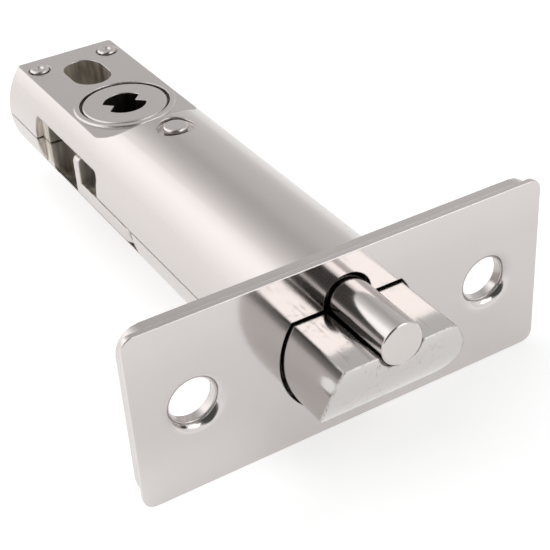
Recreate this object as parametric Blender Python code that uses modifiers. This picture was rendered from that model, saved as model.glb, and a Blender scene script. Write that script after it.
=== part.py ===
"""Tubular mortice deadlatch with a two-piece die-cast case, a plunger beside the bolt and a turning hub.

Metres, +Z up. X runs out of the forend along the bolt, Y along the forend, Z along the spindle.
Inside the model, x = 0 is the front of the forend and y = z = 0 is the axis of the barrel.
The empty latch_frame then moves the whole latch so that it is centred in X and Y and stands on z = 0.
"""

import math

import bmesh
import bpy
from mathutils import Vector

MM = 0.001

# Clearances
SEAT_GAP = 0.3 * MM          # between pieces that touch
RUN_GAP = 0.35 * MM          # between pieces that slide or turn on one another
CAM_GAP = 0.5 * MM           # free play between the cam's arms and the yoke's tabs
OVERSHOOT = 1.0 * MM         # how far a cutter runs past what it cuts

# Forend: a thin front plate over a stiffer rear plate
FOREND_LENGTH = 57.0 * MM
FOREND_WIDTH = 24.5 * MM
FACE_THICKNESS = 0.8 * MM
FACE_CORNER = 1.5 * MM
FACE_EDGE_ROUND = 0.25 * MM
BACK_THICKNESS = 1.2 * MM
BACK_CORNER = 3.2 * MM
BACK_INSET = 0.12 * MM
SCREW_SPACING = 41.2 * MM
SCREW_HOLE_RADIUS = 2.95 * MM
SCREW_LIP_WIDTH = 1.5 * MM
SCREW_LIP_DEPTH = 1.3 * MM

# Main sizes of the barrel and of what slides in it
BARREL_RADIUS = 10.6 * MM
BACKSET = 59.5 * MM          # hub centre behind the front of the forend
BOLT_RADIUS = 9.3 * MM
BOLT_PROJECTION = 10.7 * MM
BOLT_TAIL = 13.0 * MM
BEVEL_FALL = 9.8 * MM        # how far the curved bevel drops back from the tip to the lowest point
BEVEL_STEPS = 16
PLUNGER_RADIUS = 2.8 * MM
PLUNGER_PROJECTION = 11.0 * MM
PLUNGER_TAIL = 12.0 * MM
PLUNGER_EDGE = 0.3 * MM
PLUNGER_SOCKET = 4.0 * MM
PLUNGER_OPENING = 0.5 * MM   # clearance round the plunger through the forend
PLUNGER_INSET = 0.3 * MM     # from the bolt's round outline down to the top of the plunger
BOLT_FLAT_DROP = 0.75 * MM   # from the plunger's axis down to the bolt's flat top
STEM_RADIUS = 1.0 * MM
STEM_OVERLAP = 0.6 * MM      # how far the stem reaches past the bridge

# Case. Lengths with AHEAD or BEHIND are measured from the hub.
ROOM_WALL = 0.85 * MM        # wall of the wider room behind the bolt's bore
LAND_WALL = 1.0 * MM
BARREL_END_CHAMFER = 0.4 * MM
BARREL_BEHIND = 22.5 * MM
PARTING_HEIGHT = -0.4 * MM
LAND_CUT = 3.67 * MM        # depth of the flat land below the top of the barrel
LAND_AHEAD = 8.9 * MM
LAND_RAMP = math.radians(38.0)
LAND_CORNER = 2.5 * MM
BLOCK_BEHIND = 8.6 * MM      # solid end block with the fixing slot
SLOT_BEHIND = 13.5 * MM
SLOT_LENGTH = 9.4 * MM
SLOT_WIDTH = 6.1 * MM
WINDOW_BEHIND = 11.4 * MM
WINDOW_AHEAD = 10.8 * MM
WINDOW_TOP = 3.5 * MM
WINDOW_CORNER = 1.3 * MM
RECESS_CORNER = 0.5 * MM      # corners of the shallow recess behind the window
WINDOW_DEPTH = 3.0 * MM
BLOCK_INSET = 1.1 * MM
TRACK_AHEAD = 21.9 * MM
TRACK_DROP = 2.4 * MM        # open side of the case below the yoke

# Spring bridge: a plate across the room with a leg riveted under the roof
BRIDGE_AHEAD = 28.5 * MM
BRIDGE_THICKNESS = 1.2 * MM
LEG_DROP = 0.95 * MM         # below the top of the room
LEG_THICKNESS = 0.8 * MM
LEG_WIDTH = 6.0 * MM
LEG_AHEAD = 14.5 * MM
RIVET_AHEAD = 17.1 * MM
RIVET_SHANK = 1.1 * MM
RIVET_HEAD = 1.75 * MM
RIVET_RISE = 0.15 * MM
SPOT_RADIUS = 2.65 * MM
SPOT_DEPTH = 0.8 * MM
PAD_RADIUS = 3.3 * MM

# Drawbar from the bolt to the retractor
BAR_BELOW_PLUNGER = 6.55 * MM
BAR_WIDTH = 4.6 * MM
BAR_THICKNESS = 1.0 * MM
BAR_FRONT = 5.0 * MM
HOOK_WIDTH = 9.0 * MM
HOOK_THICKNESS = 1.2 * MM
BAR_PIN_X = 9.0 * MM
BAR_PIN_RADIUS = 1.0 * MM
BAR_PIN_COVER = 0.85 * MM    # metal of the bolt over each end of the pin

# Retractor yoke
YOKE_AHEAD = 21.3 * MM
YOKE_THICKNESS = 1.2 * MM
YOKE_HEIGHT = 2.05 * MM
YOKE_CORNER = 2.2 * MM
YOKE_INSET = 0.3 * MM        # inside the barrel's outline
TAB_AHEAD = 4.3 * MM
TAB_THICKNESS = 1.8 * MM
TAB_REACH = 2.9 * MM
TAB_TOP = 2.9 * MM

# Hub and cam
HUB_DISC_RADIUS = 6.4 * MM
HUB_RISE = 0.25 * MM
HUB_CHAMFER = 0.25 * MM
HUB_FLANGE_WIDTH = 0.8 * MM
HUB_FLANGE_THICKNESS = 0.8 * MM
HUB_BODY_RADIUS = 5.0 * MM
KEY_HOLE_RADIUS = 3.25 * MM
KEY_TOOTH_REACH = 1.7 * MM   # tooth tip to the hub centre
KEY_TOOTH_HALF = 1.3 * MM
BOSS_WIDTH = 1.05 * MM       # ring of the boss outside the hub's hole
BOSS_RISE = 0.3 * MM
BOSS_SLOPE = 0.35 * MM
CAM_BOTTOM = 0.45 * MM
CAM_TOP = 2.3 * MM
CAM_RING_WIDTH = 1.3 * MM
CAM_INSET = 1.1 * MM         # from the yoke's outer side to the centre of an arm's nose
CAM_HALF_WIDTH = 1.05 * MM

# Locking lever
LEVER_PIVOT_AHEAD = 12.9 * MM
LEVER_NOSE_AHEAD = 22.1 * MM
LEVER_PIVOT_DROP = 1.0 * MM  # below the plunger's axis
LEVER_NOSE_LIFT = 0.45 * MM  # clear above the drawbar
LEVER_HALF_HEIGHT = 1.1 * MM
LEVER_EYE = 1.8 * MM
LEVER_OFFSET = 1.6 * MM      # from the stem's side to the lever
LEVER_THICKNESS = 1.2 * MM
LEVER_PIN_RADIUS = 0.85 * MM
LUG_THICKNESS = 1.5 * MM
LUG_HALF_LENGTH = 1.6 * MM
LUG_ROOT = 0.12 * MM         # how far the lug runs into the roof

# Rear rivets
REAR_RIVET_BEHIND = 18.8 * MM
REAR_RIVET_Y = 5.8 * MM
REAR_RIVET_RADIUS = 1.1 * MM
REAR_HEAD_RADIUS = 1.5 * MM
REAR_HEAD_HEIGHT = 0.45 * MM
REAR_DIMPLE = 0.75 * MM
REAR_RECESS = 0.35 * MM      # round seat pressed into the land for each head

# Springs
BOLT_SPRING_WALL = 0.4 * MM  # room between the drawbar's corners and the coil
BOLT_SPRING_WIRE = 0.7 * MM
BOLT_SPRING_COILS = 7
PLUNGER_SPRING_WALL = 0.65 * MM
PLUNGER_SPRING_WIRE = 0.5 * MM
PLUNGER_SPRING_COILS = 9

# Heights that follow from the bolt and its plunger
PLUNGER_HEIGHT = BOLT_RADIUS - PLUNGER_INSET - PLUNGER_RADIUS
BOLT_FLAT = PLUNGER_HEIGHT - BOLT_FLAT_DROP
BAR_HEIGHT = PLUNGER_HEIGHT - BAR_BELOW_PLUNGER
BAR_PIN_TOP = PLUNGER_HEIGHT - PLUNGER_RADIUS - RUN_GAP - BAR_PIN_COVER
BAR_PIN_BOTTOM = -BOLT_RADIUS + BAR_PIN_COVER
YOKE_TOP = BAR_HEIGHT - BAR_THICKNESS / 2 - SEAT_GAP
YOKE_BOTTOM = YOKE_TOP - YOKE_HEIGHT
LEVER_PIVOT_Z = PLUNGER_HEIGHT - LEVER_PIVOT_DROP
LEVER_NOSE_Z = BAR_HEIGHT + BAR_THICKNESS / 2 + LEVER_NOSE_LIFT + LEVER_HALF_HEIGHT
LEVER_SIDE = STEM_RADIUS + LEVER_OFFSET

# Widths and radii that follow from the barrel, the bore and the hub
BORE_RADIUS = BOLT_RADIUS + SEAT_GAP
LAND_HEIGHT = BARREL_RADIUS - LAND_CUT
ROOM_RADIUS = BARREL_RADIUS - ROOM_WALL
LEG_TOP = ROOM_RADIUS - LEG_DROP
YOKE_OUTER = BARREL_RADIUS - YOKE_INSET
HUB_FLANGE_RADIUS = HUB_DISC_RADIUS + HUB_FLANGE_WIDTH
BOSS_RADIUS = HUB_DISC_RADIUS + RUN_GAP + BOSS_WIDTH
CAM_RING = HUB_BODY_RADIUS + SEAT_GAP + CAM_RING_WIDTH
CAM_REACH = YOKE_OUTER - CAM_INSET
CAM_REST = math.asin((TAB_AHEAD + CAM_HALF_WIDTH + CAM_GAP) / CAM_REACH)

# Distances behind the front of the forend
BACK_FACE = FACE_THICKNESS + SEAT_GAP + BACK_THICKNESS
BARREL_FRONT = BACK_FACE + SEAT_GAP
BRIDGE_FRONT = BACKSET - BRIDGE_AHEAD
RIVET_X = BACKSET - RIVET_AHEAD
YOKE_FRONT = BACKSET - YOKE_AHEAD
HOOK_FRONT = YOKE_FRONT + YOKE_THICKNESS + SEAT_GAP
TAB_FRONT = BACKSET - TAB_AHEAD
LAND_FRONT = BACKSET - LAND_AHEAD
BLOCK_FRONT = BACKSET + BLOCK_BEHIND
SLOT_X = BACKSET + SLOT_BEHIND
BARREL_REAR = BACKSET + BARREL_BEHIND
LEVER_PIVOT_X = BACKSET - LEVER_PIVOT_AHEAD
LEVER_NOSE_X = BACKSET - LEVER_NOSE_AHEAD
REAR_RIVET_X = BACKSET + REAR_RIVET_BEHIND
REAR_SEAT = LAND_HEIGHT - REAR_RECESS
FRAME_X = (BARREL_REAR - max(PLUNGER_PROJECTION, BOLT_PROJECTION)) / 2


# ---------------------------------------------------------------- tools

def clear_scene():
    for obj in list(bpy.data.objects):
        bpy.data.objects.remove(obj, do_unlink=True)


def new_collection(name):
    collection = bpy.data.collections.new(name)
    bpy.context.scene.collection.children.link(collection)
    return collection


def move_to(obj, collection):
    for owner in list(obj.users_collection):
        owner.objects.unlink(obj)
    collection.objects.link(obj)


def empty(name, parent, location=(0, 0, 0)):
    obj = bpy.data.objects.new(name, None)
    obj.location = location
    obj.parent = parent
    PARTS.objects.link(obj)
    return obj


def material(name, color, roughness, metallic=1.0):
    mat = bpy.data.materials.new(name)
    mat.use_nodes = True
    shader = mat.node_tree.nodes["Principled BSDF"]
    shader.inputs["Base Color"].default_value = (*color, 1.0)
    shader.inputs["Roughness"].default_value = roughness
    shader.inputs["Metallic"].default_value = metallic
    return mat


def adopt(name, parent):
    """Name the object that an operator has just made and hang it under its parent."""
    obj = bpy.context.active_object
    obj.name = name
    obj.parent = parent
    return obj


def box(name, x_range, y_range, z_range, parent):
    low = Vector((x_range[0], y_range[0], z_range[0]))
    high = Vector((x_range[1], y_range[1], z_range[1]))
    bpy.ops.mesh.primitive_cube_add(size=1, location=(low + high) / 2)
    obj = adopt(name, parent)
    for vertex in obj.data.vertices:
        vertex.co = Vector(a * b for a, b in zip(vertex.co, high - low))
    return obj


ALONG = {"X": (0, math.pi / 2, 0), "Y": (-math.pi / 2, 0, 0), "Z": (0, 0, 0)}


def cylinder(name, radius, start, end, axis, centre, parent, sides=32, end_radius=None):
    """A cylinder or cone along an axis from start to end; centre gives the other two coordinates."""
    spot = {"X": ((start + end) / 2, centre[0], centre[1]),
            "Y": (centre[0], (start + end) / 2, centre[1]),
            "Z": (centre[0], centre[1], (start + end) / 2)}[axis]
    bpy.ops.mesh.primitive_cone_add(
        vertices=sides, radius1=radius, radius2=radius if end_radius is None else end_radius,
        depth=end - start, location=spot, rotation=ALONG[axis])
    return adopt(name, parent)


def arc(centre, radius, start, end, steps):
    """Points along a circular arc; the angles are in radians and both ends are included."""
    angles = [start + (end - start) * i / steps for i in range(steps + 1)]
    return [(centre[0] + radius * math.cos(a), centre[1] + radius * math.sin(a)) for a in angles]


def rounded_rectangle(width, height, radius, steps=5):
    points = []
    for quarter, (sx, sy) in enumerate(((1, 1), (-1, 1), (-1, -1), (1, -1))):
        centre = (sx * (width / 2 - radius), sy * (height / 2 - radius))
        points += arc(centre, radius, quarter * math.pi / 2, (quarter + 1) * math.pi / 2, steps)
    return points


def stadium(length, width, steps=12):
    half = (length - width) / 2
    right = arc((half, 0), width / 2, -math.pi / 2, math.pi / 2, steps)
    left = arc((-half, 0), width / 2, math.pi / 2, 3 * math.pi / 2, steps)
    return right + left


# A flat outline lies in its own XY plane. These turns lay it in the plane that is named.
IN_PLANE = {"XY": (0, 0, 0), "XZ": (math.pi / 2, 0, 0), "YZ": (math.pi / 2, 0, math.pi / 2)}


def plate(name, outlines, thickness, plane, location, parent):
    """A flat outline, with any holes as further outlines, thickened evenly about its plane."""
    curve = bpy.data.curves.new(name, "CURVE")
    curve.dimensions = "2D"
    curve.fill_mode = "BOTH"
    curve.extrude = thickness / 2
    for outline in outlines:
        spline = curve.splines.new("POLY")
        spline.points.add(len(outline) - 1)
        for point, (u, v) in zip(spline.points, outline):
            point.co = (u, v, 0, 1)
        spline.use_cyclic_u = True
    obj = bpy.data.objects.new(name, curve)
    obj.rotation_euler = IN_PLANE[plane]
    obj.location = location
    obj.parent = parent
    PARTS.objects.link(obj)
    return as_mesh(obj)


def as_mesh(curve_object):
    """Turn a curve into a closed mesh object in the same place."""
    name = curve_object.name
    graph = bpy.context.evaluated_depsgraph_get()
    mesh = bpy.data.meshes.new_from_object(curve_object.evaluated_get(graph))
    bm = bmesh.new()
    bm.from_mesh(mesh)
    bmesh.ops.remove_doubles(bm, verts=bm.verts, dist=1e-6)
    bmesh.ops.recalc_face_normals(bm, faces=bm.faces)
    bm.to_mesh(mesh)
    bm.free()
    obj = bpy.data.objects.new(name, mesh)
    obj.parent = curve_object.parent
    obj.location = curve_object.location
    obj.rotation_euler = curve_object.rotation_euler
    PARTS.objects.link(obj)
    bpy.data.objects.remove(curve_object, do_unlink=True)
    obj.name = name
    return obj


def turned(name, profile, axis, location, parent, sides=48):
    """A solid of revolution from (radius, height) points that run down its outer side."""
    mesh = bpy.data.meshes.new(name)
    points = [(radius, 0, height) for radius, height in profile]
    mesh.from_pydata(points, [(i, i + 1) for i in range(len(points) - 1)], [])
    obj = bpy.data.objects.new(name, mesh)
    obj.rotation_euler = ALONG[axis]
    obj.location = location
    obj.parent = parent
    PARTS.objects.link(obj)
    screw = obj.modifiers.new("Turn", "SCREW")
    screw.steps = sides
    screw.render_steps = sides
    screw.use_merge_vertices = True
    screw.merge_threshold = 1e-6
    return obj


def helix(name, radius, wire, start, end, coils, centre, parent):
    """A round-wire compression spring along X, with its wire ends inside start and end."""
    per_coil = 11
    count = coils * per_coil + 1
    curve = bpy.data.curves.new(name, "CURVE")
    curve.dimensions = "3D"
    curve.bevel_depth = wire / 2
    curve.bevel_resolution = 2
    curve.use_fill_caps = True
    spline = curve.splines.new("POLY")
    spline.points.add(count - 1)
    length = end - start - wire
    for i, point in enumerate(spline.points):
        turn = 2 * math.pi * i / per_coil
        along = start + wire / 2 + length * i / (count - 1)
        point.co = (along, radius * math.cos(turn), radius * math.sin(turn), 1)
    obj = bpy.data.objects.new(name, curve)
    obj.location = (0, centre[0], centre[1])
    obj.parent = parent
    PARTS.objects.link(obj)
    return obj


def boolean(target, other, operation):
    modifier = target.modifiers.new(operation.title() + " " + other.name, "BOOLEAN")
    modifier.operation = operation
    modifier.solver = "EXACT"
    modifier.object = other
    move_to(other, CUTTERS)
    other.hide_render = True
    other.display_type = "WIRE"


def cut(target, *cutters):
    for cutter in cutters:
        boolean(target, cutter, "DIFFERENCE")


def add(target, *pieces):
    for piece in pieces:
        boolean(target, piece, "UNION")


def finish(obj, mat, smooth_angle=35):
    """Give a finished piece its collection and material, and shade its round sides smooth."""
    move_to(obj, PARTS)
    obj.data.materials.clear()
    obj.data.materials.append(mat)
    if obj.type == "MESH":
        obj.data.shade_smooth()
        obj.data.set_sharp_from_angle(angle=math.radians(smooth_angle))
    return obj


# ---------------------------------------------------------------- forend

def bolt_openings(name, clearance, parent):
    """Cutters for the D-shaped bolt opening and the round plunger opening through both plates."""
    reach = BACK_FACE + OVERSHOOT
    opening = cylinder(name + "_bolt", BOLT_RADIUS + clearance, -reach, OVERSHOOT, "X", (0, 0),
                       parent, sides=64)
    top = box(name + "_flat", (-reach - OVERSHOOT, 2 * OVERSHOOT), (-BARREL_RADIUS, BARREL_RADIUS),
              (BOLT_FLAT + clearance, BARREL_RADIUS + OVERSHOOT), parent)
    cut(opening, top)
    plunger = cylinder(name + "_plunger", PLUNGER_RADIUS + PLUNGER_OPENING, -reach, OVERSHOOT, "X",
                       (0, PLUNGER_HEIGHT), parent, sides=32)
    return opening, plunger


def screw_cutters(name, parent):
    """Turned cutters for the two screw holes, with a softly curved lip pressed in from the front."""
    lip = arc((SCREW_HOLE_RADIUS + SCREW_LIP_WIDTH, -SCREW_LIP_DEPTH), SCREW_LIP_WIDTH, math.pi / 2, math.pi, 6)
    lip = [(radius, SCREW_LIP_DEPTH / SCREW_LIP_WIDTH * (height + SCREW_LIP_DEPTH) - SCREW_LIP_DEPTH)
           for radius, height in lip]
    rear = -BACK_FACE - OVERSHOOT
    profile = [(0, OVERSHOOT), (lip[0][0], OVERSHOOT)] + lip + [(SCREW_HOLE_RADIUS, rear), (0, rear)]
    return [turned(name + tag, profile, "X", (0, side * SCREW_SPACING / 2, 0), parent, sides=40)
            for tag, side in (("_left", -1), ("_right", 1))]


def make_faceplate(parent, mat):
    outline = rounded_rectangle(FOREND_LENGTH, FOREND_WIDTH, FACE_CORNER)
    face = plate("faceplate", [outline], FACE_THICKNESS, "YZ", (-FACE_THICKNESS / 2, 0, 0), parent)
    edge = face.modifiers.new("Rolled edge", "BEVEL")
    edge.width = FACE_EDGE_ROUND
    edge.segments = 2
    edge.limit_method = "ANGLE"
    edge.angle_limit = math.radians(60)
    cut(face, *bolt_openings("face_cut", SEAT_GAP, parent), *screw_cutters("face_screw", parent))
    return finish(face, mat)


def make_backplate(parent, mat):
    outline = rounded_rectangle(FOREND_LENGTH - 2 * BACK_INSET, FOREND_WIDTH - 2 * BACK_INSET, BACK_CORNER)
    middle = -(FACE_THICKNESS + SEAT_GAP + BACK_THICKNESS / 2)
    back = plate("backplate", [outline], BACK_THICKNESS, "YZ", (middle, 0, 0), parent)
    cut(back, *bolt_openings("back_cut", SEAT_GAP, parent), *screw_cutters("back_screw", parent))
    return finish(back, mat)


# ---------------------------------------------------------------- case halves

def land_cutter(name, height, front, side, parent):
    """Everything above the flat land, with a ramp at its front and rounded front corners."""
    half = math.sqrt(BARREL_RADIUS ** 2 - LAND_HEIGHT ** 2) + SEAT_GAP
    top = BARREL_RADIUS + OVERSHOOT
    cutter = box(name, (-BARREL_REAR - OVERSHOOT, -front), (-half, half), (height, top), parent)
    run = (top - height) / math.tan(LAND_RAMP)
    weights = cutter.data.attributes.new("bevel_weight_edge", "FLOAT", "EDGE")
    for vertex in cutter.data.vertices:
        if vertex.co.x > 0 and vertex.co.z > 0:
            vertex.co.x += run
    for edge in cutter.data.edges:
        ends = [cutter.data.vertices[i].co for i in edge.vertices]
        slanted = all(end.x > 0 for end in ends) and abs(ends[0].y - ends[1].y) < half
        weights.data[edge.index].value = 1.0 if slanted else 0.0
    corner = cutter.modifiers.new("Corners", "BEVEL")
    corner.limit_method = "WEIGHT"
    corner.width = LAND_CORNER
    corner.segments = 5
    if side < 0:
        cutter.rotation_euler = (math.pi, 0, 0)
        cutter.location.z = -cutter.location.z
    return cutter


def cavity_cutters(name, side, parent):
    """The hollow of one case half: the bolt's bore, and behind its shoulder the wider room for the mechanism."""
    shoulder = -BRIDGE_FRONT + SEAT_GAP
    bore = cylinder(name + "_bore", BORE_RADIUS, shoulder - OVERSHOOT, OVERSHOOT, "X", (0, 0), parent, sides=64)
    room = cylinder(name + "_room", ROOM_RADIUS, -BLOCK_FRONT, shoulder, "X", (0, 0), parent, sides=64)
    inner_front = LAND_FRONT - LAND_WALL * math.tan(LAND_RAMP / 2)
    cut(room, land_cutter(name + "_roof", LAND_HEIGHT - LAND_WALL, inner_front, side, parent))
    return bore, room


def side_window(name, front, edge, side, parent):
    """One window: it opens at the parting plane and ends in rounded corners at its far edge."""
    inner = BARREL_RADIUS - BLOCK_INSET
    outer = BARREL_RADIUS + OVERSHOOT
    height = 2 * abs(edge - PARTING_HEIGHT)
    middle = side * (inner - WINDOW_DEPTH + outer) / 2
    deep = plate(name + "_deep", [rounded_rectangle(BLOCK_FRONT - front, height, WINDOW_CORNER)],
                 outer - inner + WINDOW_DEPTH, "XZ",
                 (-(BLOCK_FRONT + front) / 2, middle, PARTING_HEIGHT), parent)
    shallow_front = front + WINDOW_DEPTH
    shallow_rear = BACKSET + WINDOW_BEHIND
    shallow = plate(name + "_shallow", [rounded_rectangle(shallow_rear - shallow_front, height, RECESS_CORNER)],
                    outer - inner + OVERSHOOT, "XZ",
                    (-(shallow_rear + shallow_front) / 2, side * (inner + outer + OVERSHOOT) / 2,
                     PARTING_HEIGHT), parent)
    return deep, shallow


def make_case_half(name, side, mat, parent):
    """side is 1 for the upper half and -1 for the lower half."""
    case = cylinder(name, BARREL_RADIUS, -BARREL_REAR, -BARREL_FRONT, "X", (0, 0), parent, sides=64)
    end = case.modifiers.new("End chamfer", "BEVEL")
    end.width = BARREL_END_CHAMFER
    end.segments = 2
    end.limit_method = "ANGLE"
    end.angle_limit = math.radians(60)
    cut(case, land_cutter(name + "_land", LAND_HEIGHT, LAND_FRONT, side, parent))
    base = side * (LAND_HEIGHT - LAND_WALL / 2)
    crown = side * (LAND_HEIGHT + BOSS_RISE)
    sizes = (BOSS_RADIUS, BOSS_RADIUS - BOSS_SLOPE)
    low, high = sorted((base, crown))
    wide, narrow = sizes if side > 0 else sizes[::-1]
    add(case, cylinder(name + "_boss", wide, low, high, "Z", (-BACKSET, 0), parent, 64, narrow))
    cut(case, *cavity_cutters(name, side, parent))
    joint = PARTING_HEIGHT + side * SEAT_GAP / 2
    far = -side * (BARREL_RADIUS + 2 * OVERSHOOT)
    cut(case, box(name + "_other_half", (-BARREL_REAR - OVERSHOOT, OVERSHOOT),
                  (-BARREL_RADIUS - OVERSHOOT, BARREL_RADIUS + OVERSHOOT), sorted((joint, far)), parent))
    front, edge = BACKSET - WINDOW_AHEAD, WINDOW_TOP
    if side < 0:
        front, edge = BACKSET - TRACK_AHEAD, YOKE_BOTTOM - TRACK_DROP
    for tag, hand in (("_left", -1), ("_right", 1)):
        cut(case, *side_window(name + "_window" + tag, front, edge, hand, parent))
    reach = BARREL_RADIUS + OVERSHOOT
    low, high = sorted((0, side * reach))
    cut(case, cylinder(name + "_hub_hole", HUB_DISC_RADIUS + RUN_GAP, low, high, "Z", (-BACKSET, 0),
                       parent, 64))
    cut(case, plate(name + "_slot", [stadium(SLOT_LENGTH, SLOT_WIDTH)], 2 * reach, "XY",
                    (-SLOT_X, 0, 0), parent))
    seat_low, seat_high = sorted((side * REAR_SEAT, side * reach))
    for tag, hand in (("_left", -1), ("_right", 1)):
        spot = (-REAR_RIVET_X, hand * REAR_RIVET_Y)
        cut(case, cylinder(name + "_rivet_hole" + tag, REAR_RIVET_RADIUS + SEAT_GAP, -reach, reach, "Z",
                           spot, parent, 20),
            cylinder(name + "_rivet_seat" + tag, REAR_HEAD_RADIUS + SEAT_GAP, seat_low, seat_high, "Z",
                     spot, parent, 20))
    return case


def make_upper_housing(mat, parent):
    case = make_case_half("upper_housing", 1, mat, parent)
    floor = BARREL_RADIUS - SPOT_DEPTH
    pad_bottom = LEG_TOP + SEAT_GAP
    pad_top = math.sqrt(BARREL_RADIUS ** 2 - PAD_RADIUS ** 2) - LUG_ROOT
    add(case, cylinder("rivet_pad", PAD_RADIUS, pad_bottom, pad_top, "Z", (-RIVET_X, 0), parent, 40))
    lug_side = LEVER_SIDE + LEVER_THICKNESS + SEAT_GAP
    roof = math.sqrt(ROOM_RADIUS ** 2 - lug_side ** 2) + LUG_ROOT
    lug = box("lever_lug", (-LEVER_PIVOT_X - LUG_HALF_LENGTH, -LEVER_PIVOT_X + LUG_HALF_LENGTH),
              (lug_side, lug_side + LUG_THICKNESS), (LEVER_PIVOT_Z - LEVER_EYE, roof), parent)
    cut(lug, land_cutter("lug_roof", LAND_HEIGHT - LAND_WALL / 2, LAND_FRONT, 1, parent))
    add(case, lug)
    cut(case, cylinder("spot_face", SPOT_RADIUS, floor, BARREL_RADIUS + OVERSHOOT, "Z", (-RIVET_X, 0),
                       parent, 40))
    cut(case, cylinder("rivet_hole", RIVET_SHANK + SEAT_GAP, pad_bottom - OVERSHOOT, floor + OVERSHOOT,
                       "Z", (-RIVET_X, 0), parent, 24))
    cut(case, cylinder("lug_hole", LEVER_PIN_RADIUS + SEAT_GAP, lug_side - OVERSHOOT / 4,
                       lug_side + LUG_THICKNESS + OVERSHOOT / 4, "Y", (-LEVER_PIVOT_X, LEVER_PIVOT_Z),
                       parent, 20))
    return finish(case, mat)


def make_lower_housing(mat, parent):
    return finish(make_case_half("lower_housing", -1, mat, parent), mat)


# ---------------------------------------------------------------- bolt and drawbar

def bolt_side_profile():
    """The bolt from the side: a flat top, a tip edge and a curved bevel that falls back to the forend."""
    height = BOLT_FLAT + BOLT_RADIUS
    lowest = 1 + OVERSHOOT / height
    outline = []
    for i in range(BEVEL_STEPS + 1):
        down = lowest * i / BEVEL_STEPS
        outline.append((BOLT_PROJECTION - BEVEL_FALL * down ** 2, BOLT_FLAT - height * down))
    return outline + [(-BOLT_TAIL, BOLT_FLAT - height * lowest), (-BOLT_TAIL, BOLT_FLAT)]


def make_latch_bolt(parent, mat):
    bolt = plate("latch_bolt", [bolt_side_profile()], 2 * BOLT_RADIUS + 2 * OVERSHOOT, "XZ", (0, 0, 0), parent)
    round_stock = cylinder("bolt_round", BOLT_RADIUS, -BOLT_TAIL - OVERSHOOT, BOLT_PROJECTION + OVERSHOOT,
                           "X", (0, 0), parent, sides=64)
    boolean(bolt, round_stock, "INTERSECT")
    cut(bolt, cylinder("bolt_groove", PLUNGER_RADIUS + RUN_GAP, -BOLT_TAIL - OVERSHOOT,
                       BOLT_PROJECTION + OVERSHOOT, "X", (0, PLUNGER_HEIGHT), parent, sides=32))
    half_w = BAR_WIDTH / 2 + SEAT_GAP
    half_t = BAR_THICKNESS / 2 + SEAT_GAP
    cut(bolt, box("bar_slot", (-BOLT_TAIL - OVERSHOOT, -BAR_FRONT + SEAT_GAP), (-half_w, half_w),
                  (BAR_HEIGHT - half_t, BAR_HEIGHT + half_t), parent))
    cut(bolt, cylinder("bolt_pin_hole", BAR_PIN_RADIUS + SEAT_GAP, -BOLT_RADIUS - OVERSHOOT,
                       BAR_PIN_TOP + SEAT_GAP, "Z", (-BAR_PIN_X, 0), parent, 24))
    return finish(bolt, mat)


def make_drawbar(parent, mat):
    """A strip whose rear end turns down into a wide hook behind the yoke's cross bar."""
    half_t = BAR_THICKNESS / 2
    rear = -HOOK_FRONT - HOOK_THICKNESS
    bar = box("drawbar", (rear, -BAR_FRONT), (-BAR_WIDTH / 2, BAR_WIDTH / 2),
              (BAR_HEIGHT - half_t, BAR_HEIGHT + half_t), parent)
    add(bar, box("hook", (rear, -HOOK_FRONT), (-HOOK_WIDTH / 2, HOOK_WIDTH / 2),
                 (YOKE_BOTTOM, BAR_HEIGHT + half_t), parent))
    cut(bar, cylinder("bar_pin_hole", BAR_PIN_RADIUS + SEAT_GAP, BAR_HEIGHT - OVERSHOOT,
                      BAR_HEIGHT + OVERSHOOT, "Z", (-BAR_PIN_X, 0), parent, 24))
    return finish(bar, mat)


def make_drawbar_pin(parent, mat):
    pin = cylinder("drawbar_pin", BAR_PIN_RADIUS, BAR_PIN_BOTTOM, BAR_PIN_TOP, "Z", (-BAR_PIN_X, 0), parent, 20)
    return finish(pin, mat)


def make_retractor_yoke(parent, mat):
    """A strip bent into a U, with an upright tab at the rear end of each arm."""
    rear = TAB_FRONT + TAB_THICKNESS
    inner = YOKE_OUTER - YOKE_THICKNESS
    bend = YOKE_CORNER
    front = -YOKE_FRONT
    outline = [(-rear, YOKE_OUTER)]
    outline += arc((front - bend, YOKE_OUTER - bend), bend, math.pi / 2, 0, 5)
    outline += arc((front - bend, -YOKE_OUTER + bend), bend, 0, -math.pi / 2, 5)
    outline += [(-rear, -YOKE_OUTER), (-rear, -inner)]
    inner_bend = bend - YOKE_THICKNESS
    outline += arc((front - bend, -YOKE_OUTER + bend), inner_bend, -math.pi / 2, 0, 5)
    outline += arc((front - bend, YOKE_OUTER - bend), inner_bend, 0, math.pi / 2, 5)
    outline += [(-rear, inner)]
    yoke = plate("retractor_yoke", [outline], YOKE_TOP - YOKE_BOTTOM, "XY",
                 (0, 0, (YOKE_TOP + YOKE_BOTTOM) / 2), parent)
    for tag, side in (("_left", -1), ("_right", 1)):
        width = TAB_REACH
        height = TAB_TOP - YOKE_BOTTOM
        tab = plate("tab" + tag, [rounded_rectangle(width, height, width / 3)], TAB_THICKNESS, "YZ",
                    (-TAB_FRONT - TAB_THICKNESS / 2, side * (YOKE_OUTER - width / 2),
                     (TAB_TOP + YOKE_BOTTOM) / 2), parent)
        add(yoke, tab)
    return finish(yoke, mat)


# ---------------------------------------------------------------- plunger

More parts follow.
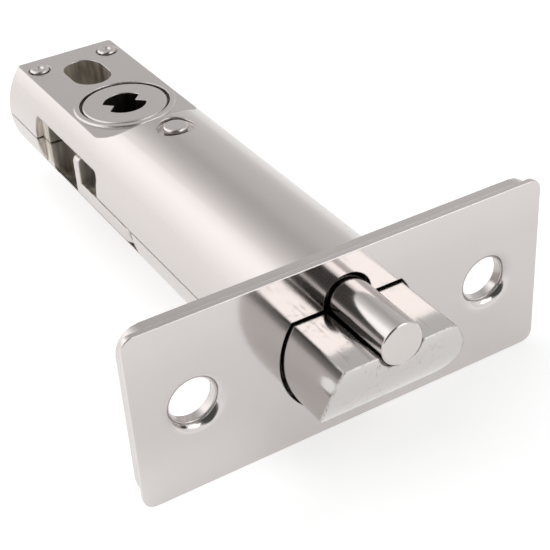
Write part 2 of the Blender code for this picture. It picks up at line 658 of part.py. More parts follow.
def make_plunger(parent, mat):
    edge = PLUNGER_EDGE
    profile = [(0, PLUNGER_PROJECTION), (PLUNGER_RADIUS - edge, PLUNGER_PROJECTION),
               (PLUNGER_RADIUS - edge * 0.3, PLUNGER_PROJECTION - edge * 0.3),
               (PLUNGER_RADIUS, PLUNGER_PROJECTION - edge), (PLUNGER_RADIUS, -PLUNGER_TAIL),
               (STEM_RADIUS + SEAT_GAP, -PLUNGER_TAIL),
               (STEM_RADIUS + SEAT_GAP, -PLUNGER_TAIL + PLUNGER_SOCKET), (0, -PLUNGER_TAIL + PLUNGER_SOCKET)]
    return finish(turned("plunger", profile, "X", (0, 0, PLUNGER_HEIGHT), parent), mat)


def make_plunger_stem(parent, mat):
    stem_rear = -BRIDGE_FRONT - BRIDGE_THICKNESS - STEM_OVERLAP
    stem = cylinder("plunger_stem", STEM_RADIUS, stem_rear, -PLUNGER_TAIL + PLUNGER_SOCKET - SEAT_GAP, "X",
                    (0, PLUNGER_HEIGHT), parent, 20)
    return finish(stem, mat)


# ---------------------------------------------------------------- bridge, rivets and lever

def make_spring_bracket(parent, mat):
    """The plate that both springs push on, with a leg that is riveted under the roof of the case."""
    rear = -BRIDGE_FRONT - BRIDGE_THICKNESS
    bridge = cylinder("spring_bracket", ROOM_RADIUS - SEAT_GAP, rear, -BRIDGE_FRONT, "X", (0, 0),
                      parent, sides=48)
    add(bridge, box("bracket_leg", (-BACKSET + LEG_AHEAD, rear + BRIDGE_THICKNESS / 2), (-LEG_WIDTH / 2, LEG_WIDTH / 2),
                    (LEG_TOP - LEG_THICKNESS, LEG_TOP), parent))
    half_w = BAR_WIDTH / 2 + RUN_GAP
    half_t = BAR_THICKNESS / 2 + RUN_GAP
    through = (rear - OVERSHOOT / 2, -BRIDGE_FRONT + OVERSHOOT / 2)
    cut(bridge, box("bracket_bar_slot", through, (-half_w, half_w),
                    (BAR_HEIGHT - half_t, BAR_HEIGHT + half_t), parent))
    cut(bridge, cylinder("bracket_stem_hole", STEM_RADIUS + RUN_GAP, *through, "X", (0, PLUNGER_HEIGHT),
                         parent, 20))
    cut(bridge, cylinder("leg_hole", RIVET_SHANK + SEAT_GAP, LEG_TOP - LEG_THICKNESS - OVERSHOOT / 2,
                         LEG_TOP + OVERSHOOT / 2, "Z", (-RIVET_X, 0), parent, 24))
    return finish(bridge, mat)


def make_top_rivet(parent, mat):
    top = BARREL_RADIUS + RIVET_RISE
    under = BARREL_RADIUS - SPOT_DEPTH + SEAT_GAP
    bottom = LEG_TOP - LEG_THICKNESS
    chamfer = RIVET_HEAD * 0.15
    profile = [(0, top), (RIVET_HEAD - chamfer, top), (RIVET_HEAD, top - chamfer), (RIVET_HEAD, under),
               (RIVET_SHANK, under), (RIVET_SHANK, bottom), (0, bottom)]
    return finish(turned("top_rivet", profile, "Z", (-RIVET_X, 0, 0), parent, sides=32), mat)


def make_rear_rivet(name, hand, parent, mat):
    """A long rivet through both halves of the end block, with a dimpled head on each side."""
    seat = REAR_SEAT + SEAT_GAP
    top = seat + REAR_HEAD_HEIGHT
    rim = REAR_HEAD_RADIUS * 0.8
    depth = REAR_HEAD_HEIGHT * 0.8
    upper = [(0, top - depth), (REAR_DIMPLE * 0.6, top - depth), (REAR_DIMPLE, top), (rim, top),
             (REAR_HEAD_RADIUS, seat + REAR_HEAD_HEIGHT * 0.4), (REAR_HEAD_RADIUS, seat),
             (REAR_RIVET_RADIUS, seat)]
    lower = [(radius, -height) for radius, height in reversed(upper)]
    rivet = turned(name, upper + lower, "Z", (-REAR_RIVET_X, hand * REAR_RIVET_Y, 0), parent, sides=20)
    return finish(rivet, mat)


def make_lock_lever(parent, mat):
    """A flat pawl beside the plunger stem: an eye on its pin and a nose above the drawbar."""
    pivot = Vector((-LEVER_PIVOT_X, LEVER_PIVOT_Z))
    nose = Vector((-LEVER_NOSE_X, LEVER_NOSE_Z))
    heading = math.atan2(nose.y - pivot.y, nose.x - pivot.x)
    quarter = math.pi / 2
    outline = arc(pivot, LEVER_EYE, heading + quarter, heading + 3 * quarter, 10)
    outline += arc(nose, LEVER_HALF_HEIGHT, heading - quarter, heading + quarter, 6)
    eye = arc(pivot, LEVER_PIN_RADIUS + SEAT_GAP, 0, 2 * math.pi - math.pi / 8, 15)
    lever = plate("lock_lever", [outline, eye], LEVER_THICKNESS, "XZ",
                  (0, LEVER_SIDE + LEVER_THICKNESS / 2, 0), parent)
    return finish(lever, mat)


def make_lever_pin(parent, mat):
    start = LEVER_SIDE - SEAT_GAP
    end = LEVER_SIDE + LEVER_THICKNESS + SEAT_GAP + LUG_THICKNESS + SEAT_GAP
    pin = cylinder("lever_pin", LEVER_PIN_RADIUS, start, end, "Y", (-LEVER_PIVOT_X, LEVER_PIVOT_Z), parent, 20)
    return finish(pin, mat)


# ---------------------------------------------------------------- hub and cam

def key_hole_outline():
    """The round spindle hole with two opposed teeth that point inward along Y."""
    base = math.asin(KEY_TOOTH_HALF / KEY_HOLE_RADIUS)
    quarter = math.pi / 2
    outline = []
    for turn in (0, math.pi):
        outline += arc((0, 0), KEY_HOLE_RADIUS, turn - quarter + base, turn + quarter - base, 12)
        outline.append((0, KEY_TOOTH_REACH * math.cos(turn)))
    return outline


def make_hub(parent, mat):
    top = LAND_HEIGHT + HUB_RISE
    flange_top = LAND_HEIGHT - LAND_WALL - SEAT_GAP
    flange_low = flange_top - HUB_FLANGE_THICKNESS
    upper = [(0, top), (HUB_DISC_RADIUS - HUB_CHAMFER, top), (HUB_DISC_RADIUS, top - HUB_CHAMFER),
             (HUB_DISC_RADIUS, flange_top), (HUB_FLANGE_RADIUS, flange_top),
             (HUB_FLANGE_RADIUS, flange_low), (HUB_BODY_RADIUS, flange_low)]
    lower = [(radius, -height) for radius, height in reversed(upper)]
    hub = turned("hub", upper + lower, "Z", (0, 0, 0), parent, sides=56)
    cut(hub, plate("key_hole", [key_hole_outline()], 2 * top + 2 * OVERSHOOT, "XY", (0, 0, 0), parent))
    return finish(hub, mat)


def make_hub_cam(parent, mat):
    """A ring on the hub with two arms that point forward and out to the yoke's tabs."""
    half_angle = math.asin(CAM_HALF_WIDTH / CAM_RING)
    quarter = math.pi / 2
    right = quarter - CAM_REST
    left = -right
    outline = []
    for direction, next_direction in ((left, right), (right, left + 2 * math.pi)):
        centre = (CAM_REACH * math.cos(direction), CAM_REACH * math.sin(direction))
        outline += arc(centre, CAM_HALF_WIDTH, direction - quarter, direction + quarter, 8)
        outline += arc((0, 0), CAM_RING, direction + half_angle, next_direction - half_angle, 14)
    bore = arc((0, 0), HUB_BODY_RADIUS + SEAT_GAP, 0, 2 * math.pi * 39 / 40, 39)
    cam = plate("hub_cam", [outline, bore], CAM_TOP - CAM_BOTTOM, "XY", (0, 0, (CAM_TOP + CAM_BOTTOM) / 2),
                parent)
    return finish(cam, mat)


# ---------------------------------------------------------------- assembly

clear_scene()
PARTS = new_collection("tubular_deadlatch")
CUTTERS = new_collection("cutters")

CHROME = material("polished_plate", (0.80, 0.77, 0.76), 0.06)
NICKEL = material("nickel_case", (0.74, 0.69, 0.67), 0.24)
STEEL = material("plain_steel", (0.46, 0.43, 0.41), 0.38)
SPRING = material("spring_wire", (0.38, 0.37, 0.36), 0.30)

latch_frame = empty("latch_frame", None, (FRAME_X, 0, FOREND_WIDTH / 2))
bolt_axis = empty("bolt_axis", latch_frame)
plunger_axis = empty("plunger_axis", latch_frame)
hub_axis = empty("hub_axis", latch_frame, (-BACKSET, 0, 0))

make_faceplate(latch_frame, CHROME)
make_backplate(latch_frame, NICKEL)
make_upper_housing(NICKEL, latch_frame)
make_lower_housing(NICKEL, latch_frame)
make_spring_bracket(latch_frame, STEEL)
make_top_rivet(latch_frame, NICKEL)
make_rear_rivet("rear_rivet_left", -1, latch_frame, NICKEL)
make_rear_rivet("rear_rivet_right", 1, latch_frame, NICKEL)
make_lock_lever(latch_frame, STEEL)
make_lever_pin(latch_frame, STEEL)
make_latch_bolt(bolt_axis, CHROME)
make_drawbar(bolt_axis, STEEL)
make_drawbar_pin(bolt_axis, STEEL)
make_retractor_yoke(bolt_axis, NICKEL)
make_plunger(plunger_axis, CHROME)
make_plunger_stem(plunger_axis, STEEL)
make_hub(hub_axis, NICKEL)
make_hub_cam(hub_axis, STEEL)
bridge_face = -BRIDGE_FRONT + SEAT_GAP
bar_corner = math.hypot(BAR_WIDTH / 2, BAR_THICKNESS / 2)
bolt_spring_radius = bar_corner + BOLT_SPRING_WALL + BOLT_SPRING_WIRE / 2
plunger_spring_radius = STEM_RADIUS + PLUNGER_SPRING_WALL + PLUNGER_SPRING_WIRE / 2
finish(helix("bolt_spring", bolt_spring_radius, BOLT_SPRING_WIRE, bridge_face, -BOLT_TAIL - SEAT_GAP,
             BOLT_SPRING_COILS, (0, BAR_HEIGHT), latch_frame), SPRING)
finish(helix("plunger_spring", plunger_spring_radius, PLUNGER_SPRING_WIRE, bridge_face,
             -PLUNGER_TAIL - SEAT_GAP, PLUNGER_SPRING_COILS, (0, PLUNGER_HEIGHT), latch_frame), SPRING)
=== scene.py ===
# %% [markdown]
# # A tubular mortice deadlatch in bright nickel
#
# This lesson dresses a finished CAD latch. The CAD gives every piece its size and place, and it moves on real
# joints. Here the pieces that are seen get rounded edges, smooth shading and metal finishes, the springs get a
# rounded wire, and the latch is set in a small white studio.

# %% Load the fixed CAD frame
import math

import bpy
from mathutils import Matrix, Vector


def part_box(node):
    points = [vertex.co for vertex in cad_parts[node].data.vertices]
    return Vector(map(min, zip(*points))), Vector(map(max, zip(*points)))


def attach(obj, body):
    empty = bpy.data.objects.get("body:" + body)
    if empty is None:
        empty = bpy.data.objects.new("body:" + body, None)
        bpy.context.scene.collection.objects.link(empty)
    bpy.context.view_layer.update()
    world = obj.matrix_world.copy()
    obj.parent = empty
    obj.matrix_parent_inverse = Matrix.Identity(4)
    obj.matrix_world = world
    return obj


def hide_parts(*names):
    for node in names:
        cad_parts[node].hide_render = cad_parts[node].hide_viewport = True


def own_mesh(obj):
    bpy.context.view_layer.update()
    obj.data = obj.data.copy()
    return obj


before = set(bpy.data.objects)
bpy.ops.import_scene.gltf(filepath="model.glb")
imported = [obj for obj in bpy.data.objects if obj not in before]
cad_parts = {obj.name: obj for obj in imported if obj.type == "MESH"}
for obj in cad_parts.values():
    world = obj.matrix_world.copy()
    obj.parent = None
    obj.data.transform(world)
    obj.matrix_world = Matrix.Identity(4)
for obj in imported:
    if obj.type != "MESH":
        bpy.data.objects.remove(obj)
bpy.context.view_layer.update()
MM = 0.001
forend_low, forend_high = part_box("faceplate")
FACE_X = forend_high.x
AXIS_Z = (forend_low.z + forend_high.z) / 2
print("forend face at x =", round(FACE_X / MM, 2), "mm, barrel axis at z =", round(AXIS_Z / MM, 2), "mm")

# %% [markdown]
# ## Camera
# The latch lies flat with its forend to the right and towards us. The camera stands in front of the forend, to one
# side and well above, and close enough that the far end of the barrel looks smaller. It is placed by its own three
# axes, so no part of it depends on a guess at roll.

# %% Camera
CAMERA_PLACE = Vector((105.06, -67.12, 95.13))     # mm, from the forend's face on the barrel's axis
CAMERA_RIGHT = Vector((0.51506, 0.85521, -0.05773))
CAMERA_UP = Vector((-0.45985, 0.33253, 0.82338))
FOCAL_SHARE = 2.39818182                           # focal length as a share of the sensor's width
SENSOR_WIDTH = 36.0                                # mm
NEAREST_SEEN = 5 * MM

bpy.ops.object.camera_add()
camera = bpy.context.object
camera.name = "studio_camera"
back = CAMERA_RIGHT.cross(CAMERA_UP).normalized()
turn = Matrix((CAMERA_RIGHT, CAMERA_UP, back)).transposed().to_4x4()
place = Vector((FACE_X, 0, AXIS_Z)) + CAMERA_PLACE * MM
camera.matrix_world = Matrix.Translation(place) @ turn
camera.data.sensor_width = SENSOR_WIDTH
camera.data.lens = SENSOR_WIDTH * FOCAL_SHARE
camera.data.clip_start = NEAREST_SEEN
bpy.context.scene.camera = camera
print("camera", [round(v, 3) for v in place], "lens", round(camera.data.lens, 1))

# %% [markdown]
# ## Writing shaders as sums
# A metal finish is mostly arithmetic on a few noises. A small class wraps a node's output socket, so an expression
# such as 0.2 + 0.1 * noise adds its Math nodes by itself.


# %% Socket arithmetic
class Wire:
    """A node's output that can be added, subtracted and multiplied, by numbers and by other outputs."""

    def __init__(self, tree, socket):
        self.tree = tree
        self.socket = socket

    def node(self, kind, settings=None, inputs=None, output=0):
        """Add any node: its settings first, then the values or links of its sockets."""
        node = self.tree.nodes.new(kind)
        for key, value in (settings or {}).items():
            if key == "stops":
                for index, (position, tone) in enumerate(value):
                    elements = node.color_ramp.elements
                    stop = elements[index] if index < len(elements) else elements.new(position)
                    stop.position = position
                    stop.color = (*tone, 1.0) if isinstance(tone, tuple) else (tone, tone, tone, 1.0)
            else:
                setattr(node, key, value)
        for key, value in (inputs or {}).items():
            if isinstance(value, Wire):
                self.tree.links.new(value.socket, node.inputs[key])
            else:
                node.inputs[key].default_value = value
        return Wire(self.tree, node.outputs[output])

    def math(self, operation, *values):
        return self.node("ShaderNodeMath", {"operation": operation}, dict(enumerate(values)))

    def part(self, axis):
        """One of the X, Y and Z of a place or a direction."""
        return self.node("ShaderNodeSeparateXYZ", {}, {"Vector": self}, output=axis)

    def step(self, low, high):
        """0 below low, 1 above high and a smooth rise between them."""
        return self.node("ShaderNodeMapRange", {"interpolation_type": "SMOOTHSTEP"},
                         {"Value": self, "From Min": low, "From Max": high})

    def __add__(self, other):
        return self.math("ADD", self, other)

    def __sub__(self, other):
        return self.math("SUBTRACT", self, other)

    def __rsub__(self, other):
        return self.math("SUBTRACT", other, self)

    def __mul__(self, other):
        return self.math("MULTIPLY", self, other)

    __radd__ = __add__
    __rmul__ = __mul__


# %% A new metal
def start_metal(name):
    """A material with an object-space place to read patterns from, and its Principled shader."""
    metal = bpy.data.materials.new(name)
    metal.use_nodes = True
    tree = metal.node_tree
    shader = tree.nodes["Principled BSDF"]
    coordinates = tree.nodes.new("ShaderNodeTexCoord")
    return metal, shader, Wire(tree, coordinates.outputs["Object"])


def noise(place, scale, detail=3.0, rough=0.5, stretch=(1, 1, 1)):
    """A noise in object space, drawn out along the axes where stretch is small."""
    spot = place.node("ShaderNodeMapping", {}, {"Vector": place, "Scale": stretch})
    return place.node("ShaderNodeTexNoise", {}, {"Vector": spot, "Scale": scale, "Detail": detail,
                                                 "Roughness": rough})


def feed(shader, name, wire):
    """Link a wire to one of a shader's inputs."""
    wire.tree.links.new(wire.socket, shader.inputs[name])


def blend(factor, usual, other):
    """The usual colour where the factor is 0 and the other one where it is 1; each is a wire or a tone."""
    usual, other = (colour if isinstance(colour, Wire) else (*colour, 1.0) for colour in (usual, other))
    return factor.node("ShaderNodeMix", {"data_type": "RGBA"}, {"Factor": factor, "A": usual, "B": other},
                       output="Result")


def shade(tone, share):
    """A darker or lighter tone of the same colour."""
    return tuple(share * value for value in tone)


# %% [markdown]
# ## Edges
# No plated edge is knife sharp. The Bevel node turns the shading normal along every edge, and how far it has turned
# says where the edges are. That mask gives the wear, since edges are what hands and strike plates rub first.


# %% Edge normal and edge mask
EDGE_TURN = (0.005, 0.12)      # 1 less the cosine of the turn: where the mask starts, and where it is full


def soft_edges(place, radius):
    """The rounded normal and a mask that is 1 on an edge and 0 on open faces."""
    rounded = place.node("ShaderNodeBevel", {"samples": 6}, {"Radius": radius})
    plain = place.node("ShaderNodeNewGeometry", {}, {}, output="Normal")
    turned = place.node("ShaderNodeVectorMath", {"operation": "DOT_PRODUCT"}, {0: rounded, 1: plain}, output="Value")
    return rounded, (1.0 - turned).step(*EDGE_TURN)


# %% [markdown]
# ## Finishes
# Three kinds of finish cover the latch. The forend's front, the bolt and the plunger are polished and plated, so they
# mirror each other; each gets its own tone and wear, since the bolt rubs on a strike plate and the forend does not.
# The die-cast case and the hub are plated over a softer surface, so they are a little rougher, with slow flow marks.
# Plating hardly reaches into a bore: inside, the casting stays raw and dull under painted reflection bands that run
# up and down its walls, and the hub's keyed hole is near black. The pieces inside and the springs are plain steel.
# Painted maps would need every piece unwrapped, so each pattern is a noise in the piece's own space, which also
# follows it as it turns and slides.


# %% Distance mask
def apart(place, centre, keep):
    """How far each point is from a centre, counted only along the axes that keep has as 1."""
    spot = place.node("ShaderNodeVectorMath", {"operation": "SUBTRACT"}, {0: place, 1: tuple(centre)})
    spot = spot.node("ShaderNodeVectorMath", {"operation": "MULTIPLY"}, {0: spot, 1: keep})
    return spot.node("ShaderNodeVectorMath", {"operation": "LENGTH"}, {0: spot}, output="Value")


# %% Finishes
NICKEL = (0.61, 0.566, 0.547)
RAW_CASTING = (0.50, 0.46, 0.41)
# Near black, for the inside of the hub's keyed hole.
KEY_HOLE_BLACK = (0.05, 0.045, 0.04)
PLATE_WAVE = 0.06 * MM         # height of the slow ripple in polished plate
CAST_WAVE = 0.04 * MM
CAST_EDGE = 0.32 * MM          # radius of the cast edges in the shading


def polished_nickel(name, tone, rough, ripple, scratch_axis, edge_radius, scuffs, edge_wear):
    """Bright plate: nearly a mirror, with a slow ripple, fine polishing lines and scuffs, most of them at edges."""
    metal, shader, place = start_metal(name)
    stretch = [1.0, 1.0, 1.0]
    stretch[scratch_axis] = 0.04
    rounded, edge = soft_edges(place, edge_radius)
    lines = noise(place, 2600.0, 1.0, 0.5, tuple(stretch))
    cloud = noise(place, 90.0, 3.0)
    dents = noise(place, 1200.0, 3.0, 0.7).step(0.52, 0.62)
    hairs = noise(place, 1500.0, 2.0, 0.6, (0.12, 1.0, 1.0)).step(0.60, 0.68)
    patch = noise(place, 190.0, 2.0).step(0.45, 0.62)
    nicks = noise(place, 2300.0, 2.0, 0.7).step(0.50, 0.60) * edge * edge_wear
    scuff = (dents * 0.6 + hairs) * patch * scuffs + nicks
    colour = blend(cloud, shade(tone, 0.93), tone)
    feed(shader, "Base Color", blend(scuff * 0.75, colour, shade(tone, 0.45)))
    feed(shader, "Roughness", rough + 0.05 * cloud + 0.05 * lines + 0.22 * scuff)
    swell = noise(place, 160.0, 1.0)
    bump = place.node("ShaderNodeBump", {}, {"Strength": ripple, "Distance": PLATE_WAVE, "Normal": rounded,
                                             "Height": swell + 0.01 * lines - 0.3 * scuff}, output="Normal")
    feed(shader, "Normal", bump)
    shader.inputs["Metallic"].default_value = 1.0
    return metal


def cast_nickel(name, tone, rough, centre, well_axis, well_radius, well_height, well_tone):
    """Plate over die casting: soft grain, small flow marks and a little unevenness in the gloss.

    The well is the unplated hollow round an axis through the centre, with painted reflection bands running up and down
    its walls. It stays below well_height on each side, and along the barrel it also stays within CASE_HALF of the
    centre.
    """
    metal, shader, place = start_metal(name)
    rounded, edge = soft_edges(place, CAST_EDGE)
    grain = noise(place, 700.0, 2.0)
    flow = noise(place, 130.0, 3.0, 0.5, (0.35, 1.0, 1.0))
    streak = noise(place, 420.0, 3.0, 0.6, (1.0, 1.0, 0.18))
    chips = noise(place, 1100.0, 3.0, 0.7).step(0.60, 0.72) * edge
    across = tuple(0.0 if i == well_axis else 1.0 for i in range(3))
    radius = apart(place, centre, across)
    height = apart(place, centre, (0, 0, 1))
    length = apart(place, centre, (1, 0, 0))
    well = radius.math("LESS_THAN", radius, well_radius) * height.math("LESS_THAN", height, well_height)
    if well_axis == 0:
        well = well * length.math("LESS_THAN", length, CASE_HALF)
    colour = blend(flow, shade(tone, 0.92), tone)
    colour = blend(chips * 0.5, colour, shade(tone, 0.5))
    # Inside the well, the lighter and darker bands over the casting's tone are painted reflections.
    raw_casting_and_painted_bands = blend(streak.step(0.35, 0.62), shade(well_tone, 0.65), shade(well_tone, 1.5))
    feed(shader, "Base Color", blend(well, colour, raw_casting_and_painted_bands))
    feed(shader, "Roughness", rough + 0.08 * flow + 0.03 * grain + 0.12 * chips + 0.26 * well)
    bump = place.node("ShaderNodeBump", {}, {"Strength": 0.3, "Distance": CAST_WAVE, "Normal": rounded,
                                             "Height": flow + 0.02 * grain - 0.4 * chips}, output="Normal")
    feed(shader, "Normal", bump)
    shader.inputs["Metallic"].default_value = 1.0
    return metal


def plain_steel(name, tone, rough):
    """Stamped or drawn steel without plate: darker, with streaks of dried oil."""
    metal, shader, place = start_metal(name)
    streak = noise(place, 420.0, 4.0, 0.6, (0.15, 1.0, 1.0))
    feed(shader, "Base Color", blend(streak, shade(tone, 0.6), tone))
    feed(shader, "Roughness", rough + 0.2 * streak)
    shader.inputs["Metallic"].default_value = 1.0
    return metal


FACE_METAL = polished_nickel("forend_polish", (0.61, 0.573, 0.562), rough=0.07, ripple=0.10, scratch_axis=1,
                             edge_radius=0.20 * MM, scuffs=0.03, edge_wear=0.15)
BOLT_METAL = polished_nickel("bolt_polish", (0.605, 0.580, 0.560), rough=0.08, ripple=0.25, scratch_axis=0,
                             edge_radius=0.50 * MM, scuffs=0.45, edge_wear=0.9)
PLUNGER_METAL = polished_nickel("plunger_polish", (0.60, 0.562, 0.545), rough=0.09, ripple=0.25, scratch_axis=0,
                                edge_radius=0.18 * MM, scuffs=0.10, edge_wear=0.4)

# The raw inside starts just under the plated skin, so the outer faces keep their plate.
case_low, case_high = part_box("upper_housing")
hub_low, hub_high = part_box("hub")
CASE_CENTRE = Vector(((case_low.x + case_high.x) / 2, 0, AXIS_Z))
HUB_CENTRE = (hub_low + hub_high) / 2
CASE_HALF = (case_high.x - case_low.x) / 2 - 0.25 * MM     # half the case's length, less the end faces' plate
LAND_HEIGHT = 6.93 * MM
BARREL_RADIUS = 10.6 * MM
KEY_RADIUS = 3.25 * MM
BARREL_SKIN = 0.35 * MM
LAND_SKIN = 0.15 * MM
KEY_MARGIN = 0.02 * MM         # the hole's wall itself is near black too
HUB_SKIN = 0.12 * MM
CASE_METAL = cast_nickel("cast_case_nickel", NICKEL, 0.19, CASE_CENTRE, well_axis=0,
                         well_radius=BARREL_RADIUS - BARREL_SKIN, well_height=LAND_HEIGHT - LAND_SKIN,
                         well_tone=RAW_CASTING)
HUB_METAL = cast_nickel("turning_hub_nickel", NICKEL, 0.18, HUB_CENTRE, well_axis=2,
                        well_radius=KEY_RADIUS + KEY_MARGIN, well_height=(hub_high.z - hub_low.z) / 2 - HUB_SKIN,
                        well_tone=KEY_HOLE_BLACK)
STEEL_METAL = plain_steel("stamped_steel", (0.42, 0.38, 0.35), 0.35)
WIRE_METAL = plain_steel("spring_wire_steel", (0.36, 0.35, 0.34), 0.28)

FINISH = {
    "faceplate": FACE_METAL, "latch_bolt": BOLT_METAL, "plunger": PLUNGER_METAL,
    "backplate": CASE_METAL, "upper_housing": CASE_METAL, "lower_housing": CASE_METAL, "hub": HUB_METAL,
    "retractor_yoke": CASE_METAL, "top_rivet": CASE_METAL, "rear_rivet_left": CASE_METAL,
    "rear_rivet_right": CASE_METAL, "bolt_spring": WIRE_METAL, "plunger_spring": WIRE_METAL,
}
for name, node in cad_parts.items():
    metal = FINISH.get(name, STEEL_METAL)
    node.data.materials.clear()
    node.data.materials.append(metal)
print("finishes on", len(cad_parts), "CAD nodes")

# %% [markdown]
# ## Rounded copies
# A CAD solid has knife edges, and real plated edges catch a line of light. The CAD meshes stay as they are, because
# they are what the joints and the sizes were tested on. So each piece that is seen is copied, its loose triangles are
# merged into flat faces, its edges get a small bevel, and the round sides are shaded smooth. Subdividing instead
# would have melted the flat faces and the crisp window corners. The copy stands for the CAD node and rides on the
# same body.


# %% Rounded copies
SAME_POINT = 0.002 * MM                # closer corners than this are one corner
FLAT_ANGLE = math.radians(0.6)         # faces that turn less than this are one flat face
SHARP_ANGLE = math.radians(28.0)       # edges that turn more than this are real edges
BEVEL_SEGMENTS = 2
FACE_WEIGHT = 80                       # how much larger faces lead the shading of their corners


def select_only(obj):
    """Make one object the selected and the active one, as the modelling operators need."""
    bpy.ops.object.select_all(action="DESELECT")
    obj.select_set(True)
    bpy.context.view_layer.objects.active = obj


def merged_copy(node_name, piece_name, body):
    """A copy of a CAD node whose loose triangles are joined, which stands for the node and rides on its body."""
    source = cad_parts[node_name]
    piece = source.copy()
    piece.data = source.data.copy()
    piece.name = piece_name
    piece.data.name = piece_name
    for key in list(piece.keys()):
        if key.startswith("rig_"):
            del piece[key]
    piece.parent = None
    bpy.context.scene.collection.objects.link(piece)
    select_only(piece)
    bpy.ops.object.mode_set(mode="EDIT")
    bpy.ops.mesh.select_all(action="SELECT")
    bpy.ops.mesh.remove_doubles(threshold=SAME_POINT)
    bpy.ops.object.mode_set(mode="OBJECT")
    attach(piece, body)
    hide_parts(node_name)
    return piece


def rounded_copy(node_name, piece_name, body, width):
    """A merged copy with a small bevel along every sharp edge."""
    piece = merged_copy(node_name, piece_name, body)
    bpy.ops.object.mode_set(mode="EDIT")
    bpy.ops.mesh.select_all(action="SELECT")
    bpy.ops.mesh.dissolve_limited(angle_limit=FLAT_ANGLE)
    bpy.ops.object.mode_set(mode="OBJECT")
    bevel = piece.modifiers.new("soft edges", "BEVEL")
    bevel.width = width
    bevel.segments = BEVEL_SEGMENTS
    bevel.limit_method = "ANGLE"
    bevel.angle_limit = SHARP_ANGLE
    bevel.miter_outer = "MITER_ARC"
    bevel.harden_normals = False
    bpy.ops.object.modifier_apply(modifier=bevel.name)
    bpy.ops.object.shade_smooth_by_angle(angle=SHARP_ANGLE)
    level = piece.modifiers.new("flat faces stay flat", "WEIGHTED_NORMAL")
    level.weight = FACE_WEIGHT
    level.keep_sharp = True
    bpy.ops.object.modifier_apply(modifier=level.name)
    print(piece_name, len(piece.data.polygons), "faces")
    return piece


# CAD node, piece, body, slot and bevel width in mm. The bolt's edges are the most worn, so they are the widest.
ROUNDED = (
    ("faceplate", "forend_front", "case", "polished_plate", 0.10),
    ("backplate", "forend_rear", "case", "nickel_case", 0.15),
    ("upper_housing", "case_upper", "case", "nickel_case", 0.12),
    ("lower_housing", "case_lower", "case", "nickel_case", 0.12),
    ("latch_bolt", "bolt_head", "bolt", "polished_plate", 0.32),
    ("plunger", "plunger_rod", "plunger", "polished_plate", 0.10),
    ("hub", "hub_disc", "hub", "nickel_case", 0.10),
    ("retractor_yoke", "yoke_strip", "bolt", "nickel_case", 0.15),
    ("top_rivet", "roof_rivet", "case", "nickel_case", 0.12),
    ("rear_rivet_left", "end_rivet_left", "case", "nickel_case", 0.10),
    ("rear_rivet_right", "end_rivet_right", "case", "nickel_case", 0.10),
)
for node_name, piece_name, body, slot, width in ROUNDED:
    rounded_copy(node_name, piece_name, body, width * MM)

# The two plates are clamped together, so only a hairline shows between them: the rear plate's front face comes
# forward, with the bevel round it.
FRONT_ROUND = 0.2 * MM                 # how far behind its front face the rear plate's bevel ends, at most
CLAMPED = 0.23 * MM
rear_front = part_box("backplate")[1].x
for vertex in bpy.data.objects["forend_rear"].data.vertices:
    if vertex.co.x > rear_front - FRONT_ROUND:
        vertex.co.x += CLAMPED

# %% [markdown]
# ## Springs
# Both springs push against the fixed bridge at their rear ends and get shorter as the bolt or the plunger goes in. A
# rigid coil would stick into the bolt's tail. Each coil is a copy that rides on the case, and one level of
# subdivision rounds the wire's facets.

# %% Springs
for node_name, piece_name, joint_name in (("bolt_spring", "bolt_coil", "bolt_slide"),
                                          ("plunger_spring", "plunger_coil", "plunger_slide")):
    coil = merged_copy(node_name, piece_name, "case")
    smooth = coil.modifiers.new("round wire", "SUBSURF")
    smooth.levels = 1
    smooth.render_levels = 1
    bpy.ops.object.modifier_apply(modifier=smooth.name)
    bpy.ops.object.shade_smooth()
    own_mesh(coil)

# %% [markdown]
# ## Studio
# Polished metal shows its surroundings more than its own colour. An even white room would make it vanish, so the
# room is made of bands that run along the barrel: white screens behind the forend, a grey sky above, and in front of
# the forend a dark gap to the left of one soft box. The bands draw the streaks on the barrel and the dark side of the
# plunger. The floor glows a little by itself, so that it stays white without a strong lamp.

# %% Studio
scene = bpy.context.scene
scene.view_settings.view_transform = "Standard"

FLOOR_SIZE = 4.0               # metres
FLOOR_DROP = 0.2 * MM          # below the latch, so that the two never share a plane
FLOOR_GREY = 0.60
FLOOR_GLOW = 0.80
GLOW_PLAIN = 0.70              # of the glow, anywhere
GLOW_CLOSE = 0.18              # more of it close in front of the forend on the left, where the plate shades the floor
GLOW_FAR = 0.10                # more of it further out in front
CLOSE_ENDS = (2 * MM, 13 * MM)
CLOSE_SIDE = (-16 * MM, -6 * MM)
FAR_STARTS = (20 * MM, 32 * MM)

bpy.ops.object.select_all(action="DESELECT")
bpy.ops.mesh.primitive_plane_add(size=FLOOR_SIZE, location=(0, 0, -FLOOR_DROP))
floor = bpy.context.object
floor.name = "studio_floor"
floor_paint, floor_shader, floor_place = start_metal("pale_floor")
floor_shader.inputs["Base Color"].default_value = (FLOOR_GREY, FLOOR_GREY, FLOOR_GREY, 1)
floor_shader.inputs["Roughness"].default_value = 0.9
floor_shader.inputs["Emission Strength"].default_value = FLOOR_GLOW
in_front = floor_place.part("X") - FACE_X
aside = floor_place.part("Y")
lit = GLOW_PLAIN + GLOW_CLOSE * (1.0 - in_front.step(*CLOSE_ENDS)) * (1.0 - aside.step(*CLOSE_SIDE))
lit = lit + GLOW_FAR * in_front.step(*FAR_STARTS)
feed(floor_shader, "Emission Color", floor_place.node("ShaderNodeCombineColor", {}, {0: lit, 1: lit, 2: lit}))
floor.data.materials.append(floor_paint)

# The soft box stands in front of the forend on its right. Its mirror image is the white on the bolt's flat and plunger.
BOX_DIRECTION = Vector((0.67, 0.416, 0.604))   # from the forend's face on the barrel's axis
BOX_DISTANCE = 450 * MM
BOX_WIDTH = 290 * MM
BOX_HEIGHT = 200 * MM
BOX_WATTS = 0.29

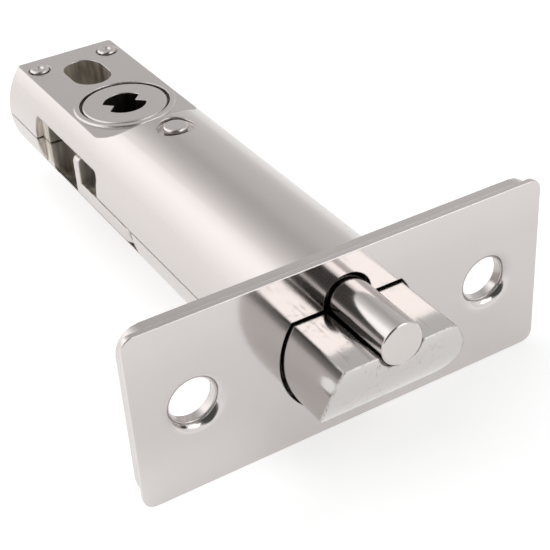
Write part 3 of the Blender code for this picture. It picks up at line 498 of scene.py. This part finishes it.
bpy.ops.object.light_add(type="AREA")
soft_box = bpy.context.object
soft_box.name = "right_soft_box"
soft_box.data.shape = "RECTANGLE"
soft_box.data.size = BOX_WIDTH
soft_box.data.size_y = BOX_HEIGHT
soft_box.data.energy = BOX_WATTS
soft_box.location = Vector((FACE_X, 0, AXIS_Z)) + BOX_DIRECTION * BOX_DISTANCE
soft_box.rotation_euler = (-BOX_DIRECTION).to_track_quat("-Z", "Y").to_euler()

# How bright the room looks along each direction round the barrel, from straight down on the left, over the top, to
# straight down on the right. Halfway along is straight up. Behind the forend the room has white screens, and in
# front of it a dark gap to the left of the soft box.
BANDS_BEHIND = ((0.0, 1.05), (0.25, 1.28), (0.30, 1.48), (0.36, 1.68), (0.40, 1.66), (0.455, 1.03), (0.51, 0.70),
                (0.555, 0.58), (0.61, 0.74), (0.70, 0.78), (0.76, 0.88), (1.0, 1.0))
BANDS_AHEAD = ((0.0, 1.05), (0.20, 1.05), (0.235, 0.75), (0.265, 0.30), (0.295, 0.10), (0.50, 0.10), (0.545, 0.45),
               (0.58, 1.20), (0.68, 1.20), (0.76, 1.0), (1.0, 1.0))
PEAK = 2.0                     # a ramp holds 0 to 1, so the bands are stored as shares of this
TURNS_AHEAD = (0.05, 0.30)     # how far forward a direction points where the bands behind give way to those ahead


def ramp(factor, bands):
    """A ramp of greys from (place, brightness) stops."""
    return factor.node("ShaderNodeValToRGB", {"stops": [(spot, value / PEAK) for spot, value in bands]},
                       {"Fac": factor})


world = bpy.data.worlds.new("studio_room")
scene.world = world
world.use_nodes = True
room = world.node_tree
direction = Wire(room, room.nodes.new("ShaderNodeTexCoord").outputs["Generated"])
ahead, across, above = direction.part("X"), direction.part("Y"), direction.part("Z")
angle = across.math("ARCTAN2", across, above) * (1.0 / math.tau) + 0.5
both = blend(ahead.step(*TURNS_AHEAD), ramp(angle, BANDS_BEHIND), ramp(angle, BANDS_AHEAD))
room.links.new(both.socket, room.nodes["Background"].inputs["Color"])
room.nodes["Background"].inputs["Strength"].default_value = PEAK
